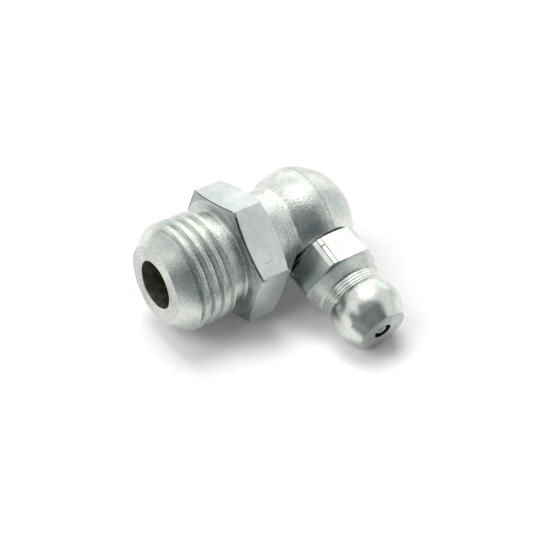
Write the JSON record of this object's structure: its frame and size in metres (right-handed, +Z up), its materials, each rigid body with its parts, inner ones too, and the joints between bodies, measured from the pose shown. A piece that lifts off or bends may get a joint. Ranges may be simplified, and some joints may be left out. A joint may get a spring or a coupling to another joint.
{
  "type": "grease nipple",
  "caption": "Right-angle elbow grease nipple: threaded shank, hexagon and ball-shaped elbow, with a pressed-in nipple head that holds a sprung check ball.",
  "frame": {"origin": "centre of the hexagon's seat face on the thread axis", "axes": "+X out of the thread end along the thread axis, +Y the side the nipple points to, +Z up. The part lies on the lowest corner line of its hexagon and on its nipple head, so the nipple slopes 15.3 degrees below +Y."},
  "size_m": [0.0205, 0.0195, 0.0122],
  "materials": {
    "zinc_plated_steel": "electro-zinc plated over turned steel, satin, bluish white",
    "bearing_steel": "ground and polished hardened steel",
    "spring_steel": "drawn spring wire"
  },
  "bodies": {
    "fitting": {"elbow_body": "zinc_plated_steel", "nipple_insert": "zinc_plated_steel", "valve_spring": "spring_steel"},
    "valve_ball": {"check_ball": "bearing_steel"}
  },
  "joints": [
    {"name": "ball_travel", "type": "slide", "parent": "fitting", "child": "valve_ball", "axis": [0, -0.9647, 0.2634], "range_m": [0, 0.0008], "stiffness_N_per_m": 1900, "deforming": ["valve_spring"]}
  ]
}
